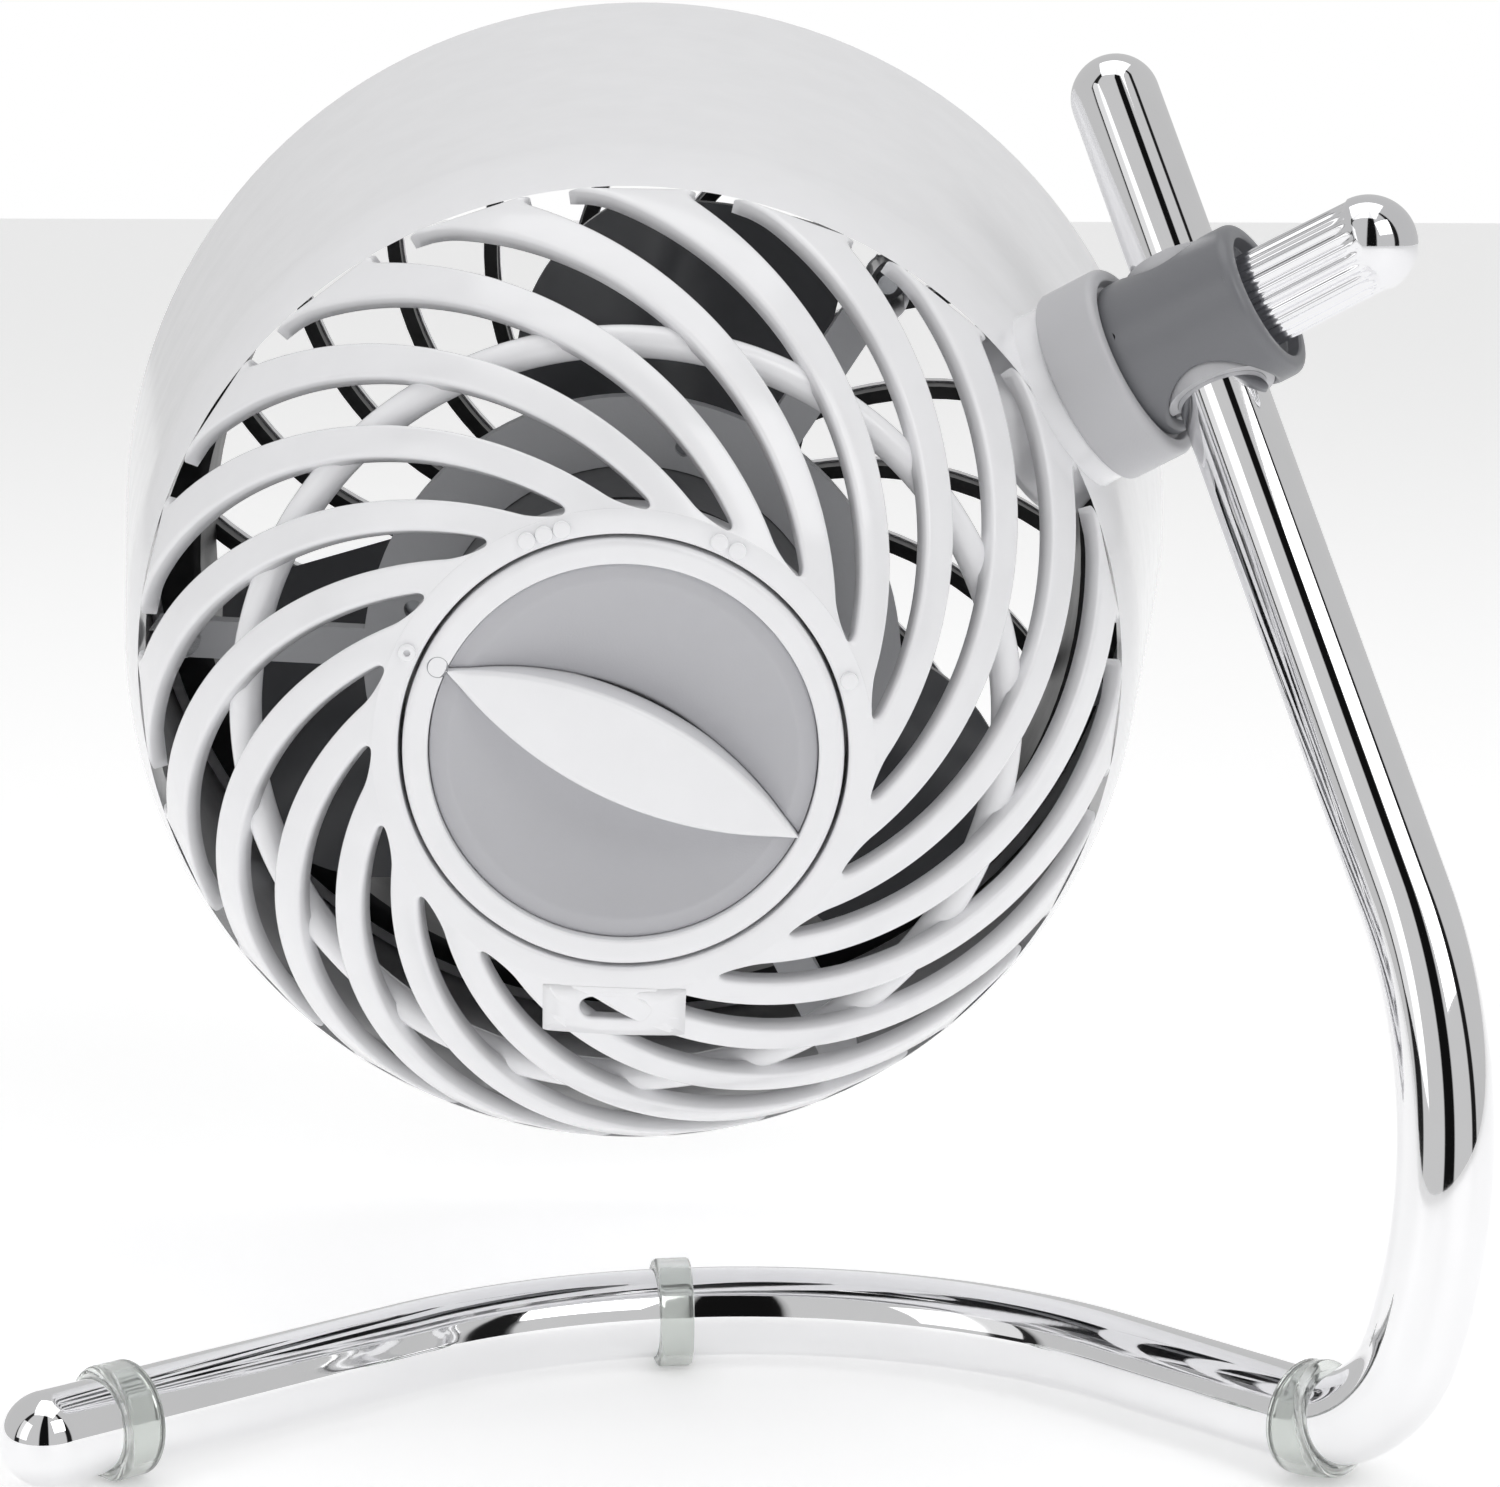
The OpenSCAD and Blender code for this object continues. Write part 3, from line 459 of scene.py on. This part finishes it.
def outletPatch(p):
    # rays from the hole's rim to the square; the rim rolls over into the hole
    ray = np.linspace(0, 2 * np.pi, 160, endpoint=False)
    ux, uy = np.cos(ray), np.sin(ray)
    hx = ux * p["halfWidth"]
    hy = uy * p["halfWidth"] + np.sign(np.round(uy, 6)) * p["halfLength"]
    limitX = np.where(ux > 0, p["out"], -p["in"])
    scale = np.minimum(limitX / np.maximum(np.abs(ux), 1e-6), p["side"] / np.maximum(np.abs(uy), 1e-6))
    qx, qy = ux * scale, uy * scale
    # each row is (share of the rim's roll, depth below the dome); the last two lie on the square
    rows = [(hx + ux * p["edge"] * t, hy + uy * p["edge"] * t, drop)
            for t, drop in ((0, p["deep"]), (0, 1.0), (0, p["edge"]), (0.4, 0.15), (1, 0))]
    rows += [(qx, qy, 0), (qx, qy, p["skirt"])]
    turn = np.radians(p["angle"])
    points = []
    for x, y, drop in rows:
        px = p["radius"] + x
        hX = px * np.cos(turn) - y * np.sin(turn)
        hY = px * np.sin(turn) + y * np.cos(turn)
        radius = np.hypot(hX, hY)
        ground = np.where(radius < hubFlat, 0.0, domeDepth(radius))
        points.append(headPlace(hX, hY, ground - p["lift"] + drop))
    return np.array(points)


shellPatches.append((outletPatch(outletForm), False, True, 1))

# the boss: a neck turned about the pivot, flared where it meets the dome
neckTop = shellForm["reach"] - 11 - 10 + 1.1
bossR = shellForm["bossRadius"]
bossOuter = roundedProfile([(3.0, neckTop), (bossR, neckTop), (bossR, neckTop - 6),
                            (bossR + 2.2, neckTop - 11.5), (bossR + 1.0, neckTop - 13)],
                           [0, 0.8, 4.0, 0.5, 0], 8)


def bossPlace(radius, angle, distance):
    # the pivot axis runs from the fan axis outwards, so the distance is measured back from the riser
    return clampPoint(distance - shellForm["reach"], radius, angle)


shellPatches.append((lathe(bossOuter, bossPlace, 128), False, True, 1))

# the three posts inside that carry the motor's mount, from the dome's inner face to the mount
postForm = {"angles": (25.7, 145.7, 265.7), "radius": 72.0, "thick": 3.4, "end": 53.0, "limit": 77.0,
            "sink": 0.3, "endShare": 0.98}
for armAngle in postForm["angles"]:
    postAngle = np.radians(armAngle)
    px = postForm["radius"] * np.cos(postAngle) + postForm["thick"] * np.cos(ringTurn)
    py = postForm["radius"] * np.sin(postAngle) + postForm["thick"] * np.sin(ringTurn)
    reachS = domeDepth(np.minimum(np.hypot(px, py), postForm["limit"]), wall) - postForm["sink"]
    post = np.array([headPlace(px, py, reachS), headPlace(px, py, postForm["end"]),
                     headPlace(px * postForm["endShare"], py * postForm["endShare"], postForm["end"])])
    shellPatches.append((post, False, True, 1))

# raised speed marks: three dots, two, one, and a small ring for off
markForm = {"radius": 34.35, "dot": 1.3, "height": 0.75, "knobAngle": 122.4, "step": 45.0}


def markDot(angleDeg, hollow):
    # a low round button, or a small ring
    a = np.radians(angleDeg)
    r = markForm["dot"]
    h = markForm["height"]
    inner = 0.5 if hollow else 0.001
    edgePoints = [(r, -0.2), (r, h), (inner, h)] + ([(inner, -0.2)] if hollow else [])
    profile = roundedProfile(edgePoints, [0, 0.35, 0.1, 0], 5)
    ring = np.linspace(0, 2 * np.pi, 24, endpoint=False)
    x = markForm["radius"] * np.cos(a) + profile[:, :1] * np.cos(ring)
    y = markForm["radius"] * np.sin(a) + profile[:, :1] * np.sin(ring)
    return headPlace(x, y, -profile[:, 1:] * np.ones_like(x))


# angles either side of each step's place, in degrees
for stepNumber, offsets in ((3, (0,)), (2, (-2.4, 2.4)), (1, (-4.4, 0, 4.4))):
    for extra in offsets:
        shellPatches.append((markDot(markForm["knobAngle"] - stepNumber * markForm["step"] + extra, False),
                             False, True, 1))
shellPatches.append((markDot(markForm["knobAngle"], True), False, True, 1))
makePiece("rearShell", shellPatches, glossWhite, "head", ("rear_shell",))
print("shell done")

# ---- speed knob

knobForm = {"radius": 31.9, "top": 0.4, "dish": 28.2, "barHalf": 7.2, "bottom": 11.4, "scoop": 55.0,
            "turn": 122.4, "edge": 1.3, "gripEdge": 0.9, "dishRim": 1.2}


def knobPlace(x, y, s):
    # square place on the knob: x along the grip
    t = np.radians(knobForm["turn"])
    return headPlace(x * np.cos(t) - y * np.sin(t), x * np.sin(t) + y * np.cos(t), s)


def knobPolar(radius, angle, s):
    return knobPlace(radius * np.cos(angle), radius * np.sin(angle), s)


dishR, barHalf, topS = knobForm["dish"], knobForm["barHalf"], -knobForm["top"]
gripArc = (dishR ** 2 + barHalf ** 2) / (2 * barHalf)
ringProfile = roundedProfile([(knobForm["radius"], knobForm["bottom"]), (knobForm["radius"], topS),
                              (dishR, topS), (dishR, 5.0)], [0, knobForm["edge"], 0.5, 0], 8)
bottomDisc = np.array([(knobForm["radius"], knobForm["bottom"]), (0.001, knobForm["bottom"])])


def gripSurface():
    # a lens in plan between two arcs, flat on top with rounded shoulders and upright sides
    u = np.linspace(-np.pi / 2, np.pi / 2, 97)[:, None]
    x = dishR * 1.005 * np.sin(u)
    halfWidth = np.sqrt(np.maximum(gripArc ** 2 - x ** 2, 0)) - (gripArc - barHalf)
    halfWidth = np.maximum(halfWidth, 0.02)
    e = np.minimum(knobForm["gripEdge"], halfWidth * 0.6)
    q = np.linspace(0, np.pi / 2, 7)[None, :]
    leftY = -halfWidth + e - e * np.cos(q)
    leftS = topS + e - e * np.sin(q)
    rightY, rightS = -leftY[:, ::-1], leftS[:, ::-1]
    downY = np.concatenate([-halfWidth, leftY, rightY, halfWidth], 1)
    downS = np.concatenate([np.full_like(x, 6.5), leftS, rightS, np.full_like(x, 6.5)], 1)
    return knobPlace(np.broadcast_to(x, downY.shape), downY, downS)


def dishSurface(sign):
    # the scooped inlay beside the grip: straight rays across from the grip's arc to the round edge
    gap = 0.14
    u = np.linspace(-np.pi / 2, np.pi / 2, 121)[:, None] * 0.985
    x = (dishR - gap) * np.sin(u)
    near = np.sqrt(np.maximum(gripArc ** 2 - x ** 2, 0)) - (gripArc - barHalf) + gap
    far = np.maximum((dishR - gap) * np.cos(u), near + 0.01)
    v = np.linspace(0, 1, 48)[None, :]
    y = near + (far - near) * v
    xx = np.broadcast_to(x, y.shape)
    hollow = knobForm["scoop"] - np.sqrt(knobForm["scoop"] ** 2 - xx ** 2 - y ** 2)
    s = np.maximum(7.4 - hollow, knobForm["dishRim"])
    rim = np.minimum(np.minimum(v, 1 - v) * (far - near), 0.5) / 0.5
    s = s + 0.25 * (1 - rim) ** 2
    s = np.concatenate([s[:, :1] + 2, s, s[:, -1:] + 2], 1)
    y = np.concatenate([y[:, :1], y, y[:, -1:]], 1)
    xx = np.concatenate([xx[:, :1], xx, xx[:, -1:]], 1)
    return knobPlace(xx, sign * y, s)


dimple = roundedProfile([(1.55, topS - 0.02), (1.25, topS + 0.05), (0.9, topS + 0.55), (0.001, topS + 0.7)],
                        [0, 0.1, 0.3, 0], 6)


def dimplePlace(radius, angle, s):
    return knobPlace(dishR + 1.3 + radius * np.cos(angle), radius * np.sin(angle), s)


makePiece("speedKnob", [(lathe(ringProfile, knobPolar, 256), False, True, 1),
                        (lathe(bottomDisc, knobPolar, 128), False, True, 1),
                        (gripSurface(), False, False, 1)], glossWhite, "speed_dial", ("speed_knob",))
dimpleDark = makeMaterial("shadowedDimple", "#8E8F93", 0.5, grain=0.4, bump=0.05)
makePiece("knobDimple", [(lathe(dimple, dimplePlace, 48), False, True, 1)], dimpleDark, "speed_dial")
makePiece("upperDish", [(dishSurface(-1), False, False, 1)], dishGrey, "speed_dial", ("knob_dish_upper",))
makePiece("lowerDish", [(dishSurface(1), False, False, 1)], dishGrey, "speed_dial", ("knob_dish_lower",))
print("knob done")

# ---- collar, barrel and clamp knob

clampForm = {"barrelR": 12.6, "inner": -11.0, "outer": 12.0, "rim": 1.9, "recessR": 9.9, "recess": 2.4,
             "boreR": 8.45, "boreEdge": 1.0, "collarR": 15.75, "collarLength": 10.0, "collarSocket": 1.4,
             "collarRim": 1.3, "knobR": 7.5, "fluteEnd": 29.3, "flutes": 24, "fluteDepth": 0.55}


def barrelSide(p, sign):
    # the barrel unrolled: rays from the tube's bore to the edges of half the barrel, rounded at the bore
    n = 240
    ray = np.linspace(0, 2 * np.pi, n, endpoint=False)
    r0, f = p["boreR"], p["boreEdge"]
    t = np.linspace(0, 1, 40)[None, :] ** 1.6
    x0, y0 = r0 * np.cos(ray), r0 * np.sin(ray)
    w0 = p["barrelR"] * np.arcsin(np.clip(y0 / p["barrelR"], -1, 1))
    low, high = p["inner"] + p["rim"], p["outer"] - p["rim"]
    side = p["barrelR"] * np.pi / 2
    ux, uw = np.cos(ray), np.sin(ray)
    scale = np.minimum(np.where(ux > 0, high, -low) / np.maximum(np.abs(ux), 1e-6),
                       side / np.maximum(np.abs(uw), 1e-6))
    x = x0[:, None] * (1 - t) + (ux * scale)[:, None] * t
    w = w0[:, None] * (1 - t) + (uw * scale)[:, None] * t
    theta = w / p["barrelR"]
    y = p["barrelR"] * np.sin(theta)
    rho = np.hypot(x, y)
    q = np.clip((r0 + f - rho) / f, 0, 1)
    drop = f * (1 - np.sqrt(np.maximum(1 - q ** 2, 0)))
    z = p["barrelR"] * np.cos(theta) - drop
    bore = np.stack([x0, y0, np.full(n, 5.5)], -1)[:, None]
    points = np.concatenate([bore, np.stack([x, y, z], -1)], 1)
    return (clampCentre + points[..., :1] * mm * pivotAxis + points[..., 1:2] * mm * clampY
            + sign * points[..., 2:] * mm * riserAxis)


def clampTurned(profile, turns=160):
    # a profile of (radius, distance along the pivot) turned about the pivot
    return lathe(profile, lambda r, a, x: clampPoint(x, r, a), turns)


p = clampForm
outerRim = roundedProfile([(p["barrelR"], p["outer"] - p["rim"]), (p["barrelR"], p["outer"]),
                           (p["recessR"], p["outer"]), (p["recessR"], p["outer"] - p["recess"]),
                           (3.2, p["outer"] - p["recess"])], [0, p["rim"] * 0.98, 0.5, 0.4, 0], 9)
innerRim = roundedProfile([(p["barrelR"], p["inner"] + p["rim"]), (p["barrelR"], p["inner"]),
                           (8.0, p["inner"]), (8.0, p["inner"] - 12)], [0, p["rim"] * 0.6, 0.2, 0], 9)
makePiece("clampBarrel", [(barrelSide(p, 1), True, False, 1), (barrelSide(p, -1), True, False, 1),
                          (clampTurned(outerRim), False, True, 1), (clampTurned(innerRim), False, True, 1)],
          barrelGrey, "clamp", ("clamp_body",))
near = p["inner"] - 0.3
collarProfile = roundedProfile([(8.1, near - 9), (8.1, near - 8.6), (p["collarR"], near - 8.6),
                                (p["collarR"], near + p["collarSocket"]), (13.6, near + p["collarSocket"]),
                                (12.95, near), (8.1, near), (8.1, near - 9)],
                               [0, 0.2, 0.7, p["collarRim"], 0.3, 0.2, 0.2, 0], 9)
makePiece("headCollar", [(clampTurned(collarProfile), False, True, 1)], collarGrey, "head", ("pivot_collar",))


def flutedKnob(p):
    # radius follows a cosine train round the knob, fading out into a domed end
    seat = p["outer"] - p["recess"] + 0.3
    turns = p["flutes"] * 12
    angle = np.linspace(0, 2 * np.pi, turns, endpoint=False)[None, :]
    side = np.linspace(seat, p["fluteEnd"], 24)
    dome = np.linspace(0, np.pi / 2, 28)[1:]
    x = np.concatenate([side, p["fluteEnd"] + p["knobR"] * np.sin(dome)])[:, None]
    r = np.concatenate([p["knobR"] - 0.25 + 0.25 * (side - p["fluteEnd"]) / (seat - p["fluteEnd"]),
                        p["knobR"] * np.cos(dome)])[:, None]
    fade = np.clip((p["fluteEnd"] - 0.3 - x) / 1.6, 0, 1)
    groove = np.clip(1 - np.abs(((angle * p["flutes"] / (2 * np.pi)) % 1) - 0.5) * 2 / 0.72, 0, 1)
    depth = p["fluteDepth"] * np.sin(groove * np.pi / 2) * fade
    r = np.maximum(r - depth, 0.001)
    base = clampPoint(np.array([[seat + 0.001]]), np.full((1, turns), 3.1), angle)
    return np.concatenate([base, clampPoint(x, r, angle)])


makePiece("flutedKnob", [(flutedKnob(p), False, True, 1)], knobChrome, "clamp_screw", ("clamp_knob",))
print("clamp done")

# ---- floor, light and camera

floorSheet = bpy.data.meshes.new("deskTop")
deskHalf, deskZ = 6, -0.0005
deskCorners = [(-deskHalf, -deskHalf, deskZ), (deskHalf, -deskHalf, deskZ), (deskHalf, deskHalf, deskZ),
               (-deskHalf, deskHalf, deskZ)]
floorSheet.from_pydata(deskCorners, [], [(0, 1, 2, 3)])
deskTop = bpy.data.objects.new("deskTop", floorSheet)
bpy.context.scene.collection.objects.link(deskTop)
paleDesk = makeMaterial("paleDesk", "#FCFCFC", 0.6, grain=3, bump=0.0, tint=0.0)
deskShader = paleDesk.node_tree.nodes["Principled BSDF"]
deskShader.inputs["Emission Color"].default_value = (1.0, 1.0, 1.0, 1.0)
deskShader.inputs["Emission Strength"].default_value = 0.3
floorSheet.materials.append(paleDesk)

worldLight = bpy.data.worlds.new("studio")
bpy.context.scene.world = worldLight
worldLight.use_nodes = True
tree = worldLight.node_tree
tree.nodes.clear()
outNode = addNode(tree, "ShaderNodeOutputWorld")
back = addNode(tree, "ShaderNodeBackground", {"Strength": 0.62})
# what the camera sees straight behind the fan is plain white paper
paper = addNode(tree, "ShaderNodeBackground", {"Color": (1.0, 1.0, 1.0, 1.0), "Strength": 1.0})
rayKind = addNode(tree, "ShaderNodeLightPath")
seen = addNode(tree, "ShaderNodeMixShader")
tree.links.new(rayKind.outputs["Is Camera Ray"], seen.inputs[0])
tree.links.new(back.outputs["Background"], seen.inputs[1])
tree.links.new(paper.outputs["Background"], seen.inputs[2])
tree.links.new(seen.outputs["Shader"], outNode.inputs["Surface"])
worldCoords = addNode(tree, "ShaderNodeTexCoord")
splitDir = addNode(tree, "ShaderNodeSeparateXYZ", Vector=(worldCoords, "Generated"))
sideways = addNode(tree, "ShaderNodeMath", {"operation": "ARCTAN2"})
tree.links.new(splitDir.outputs["X"], sideways.inputs[0])
tree.links.new(splitDir.outputs["Y"], sideways.inputs[1])
scaled = addNode(tree, "ShaderNodeMapRange", {"From Min": -np.pi, "From Max": np.pi},
                 Value=(sideways, "Value"))
bands = addNode(tree, "ShaderNodeValToRGB", Fac=(scaled, "Result"))
# white room with a few black flags, by compass bearing from 0 to 1 where 0.5 is straight behind the fan
bandStops = [(0.0, 0.95), (0.30, 0.95), (0.305, 0.02), (0.335, 0.02), (0.34, 1.0), (0.455, 1.0),
             (0.46, 0.01), (0.52, 0.01), (0.525, 1.0), (0.66, 1.0), (0.665, 0.03), (0.70, 0.03),
             (0.705, 0.95)]
ramp = bands.color_ramp
ramp.interpolation = "LINEAR"
while len(ramp.elements) > 1:
    ramp.elements.remove(ramp.elements[-1])
ramp.elements[0].position = bandStops[0][0]
ramp.elements[0].color = (bandStops[0][1],) * 3 + (1,)
for place, level in bandStops[1:]:
    stop = ramp.elements.new(place)
    stop.color = (level, level, level, 1)
tree.links.new(bands.outputs["Color"], back.inputs["Color"])


def softBox(name, place, target, size, power):
    # a large area light turned towards a point
    data = bpy.data.lights.new(name, "AREA")
    data.shape = "RECTANGLE"
    data.size, data.size_y = size
    data.energy = power
    lamp = bpy.data.objects.new(name, data)
    bpy.context.scene.collection.objects.link(lamp)
    look = unit(np.array(target) - np.array(place))
    right = unit(np.cross(look, [0, 0, 1]))
    up = np.cross(right, look)
    m = np.eye(4)
    m[:3, 0], m[:3, 1], m[:3, 2], m[:3, 3] = right, up, -look, place
    lamp.matrix_world = Matrix(m.tolist())


softBox("keyBox", (-0.9, 1.0, 1.2), (0, 0, 0.1), (0.9, 0.9), 5)
softBox("fillBox", (1.2, 0.9, 0.7), (0, 0, 0.1), (0.8, 1.0), 2)
softBox("topBox", (0.05, 0.0, 1.5), (0, 0.01, 0.1), (1.2, 1.2), 5)

camera = {"place": (-38.86, 665.64, 201.16), "forward": (0.03826, -0.98918, -0.14161),
          "right": (-0.99924, -0.03893, 0.00199), "lens": 100.8, "shift": (-0.046, -0.0337)}
cameraData = bpy.data.cameras.new("viewCamera")
cameraData.lens = camera["lens"]
cameraData.sensor_width = 36
cameraData.shift_x, cameraData.shift_y = camera["shift"]
cameraData.clip_start = 0.01
viewCamera = bpy.data.objects.new("viewCamera", cameraData)
bpy.context.scene.collection.objects.link(viewCamera)
forward = unit(camera["forward"])
right = unit(np.array(camera["right"]) - forward * np.dot(camera["right"], forward))
m = np.eye(4)
m[:3, 0], m[:3, 1], m[:3, 2] = right, np.cross(right, forward), -forward
m[:3, 3] = np.array(camera["place"]) * mm
viewCamera.matrix_world = Matrix(m.tolist())
bpy.context.scene.camera = viewCamera
bpy.context.scene.view_settings.view_transform = "Standard"
